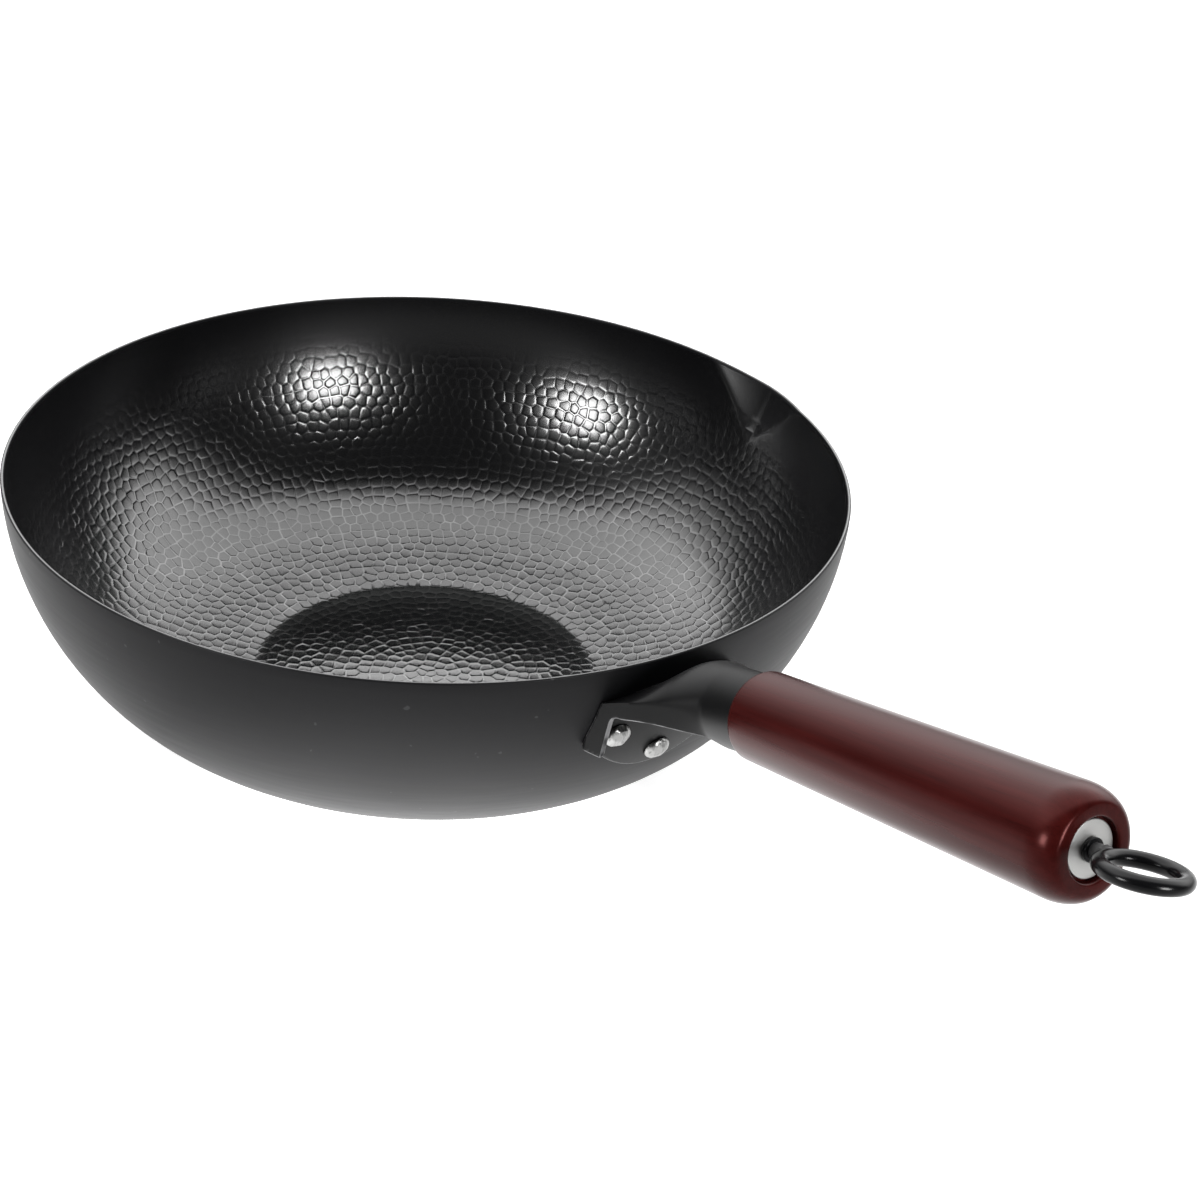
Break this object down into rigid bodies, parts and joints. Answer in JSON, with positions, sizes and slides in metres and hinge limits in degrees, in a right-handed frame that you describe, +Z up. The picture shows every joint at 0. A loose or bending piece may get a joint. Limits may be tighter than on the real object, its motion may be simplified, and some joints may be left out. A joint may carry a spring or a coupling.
{
  "type": "wok",
  "caption": "Thin iron wok with a flat base, hammered inside and pressed pour spout, and a turned wood grip on a riveted black bracket with a screw-in hang eye.",
  "frame": {"origin": "middle of the flat base, on the face that rests on the hob", "axes": "+Z up, +X along the handle away from the bowl, +Y towards the pour spout"},
  "size_m": [0.5336, 0.327, 0.1524],
  "materials": {
    "bowl_iron": "hammered semi-gloss inside, satin outside",
    "bracket_black": "semi-gloss black",
    "rivet_steel": "bright, hand-peened",
    "grip_wood": "dark red-brown gloss lacquer",
    "anchor_steel": "plain",
    "washer_steel": "brushed",
    "eye_black": "gloss black"
  },
  "bodies": {
    "wok": {"wok_bowl": "bowl_iron", "handle_bracket": "bracket_black", "rivet_upper_left": "rivet_steel", "rivet_upper_right": "rivet_steel", "rivet_lower": "rivet_steel", "wood_grip": "grip_wood", "anchor_plate": "anchor_steel"},
    "washer": {"end_washer": "washer_steel"},
    "eye": {"hang_eye": "eye_black"}
  },
  "joints": [
    {"name": "eye_advance", "type": "slide", "parent": "wok", "child": "washer", "axis": [0.9648, 0, 0.263], "range_m": [0, 0.0035]},
    {"name": "eye_turn", "type": "hinge", "parent": "washer", "child": "eye", "pos_m": [0.16, 0, 0.08775], "axis": [0.9648, 0, 0.263], "range_deg": [0, 1575]}
  ],
  "couplings": [
    {"joint": "eye_turn", "follows": "eye_advance", "rad_per_m": 7854}
  ]
}
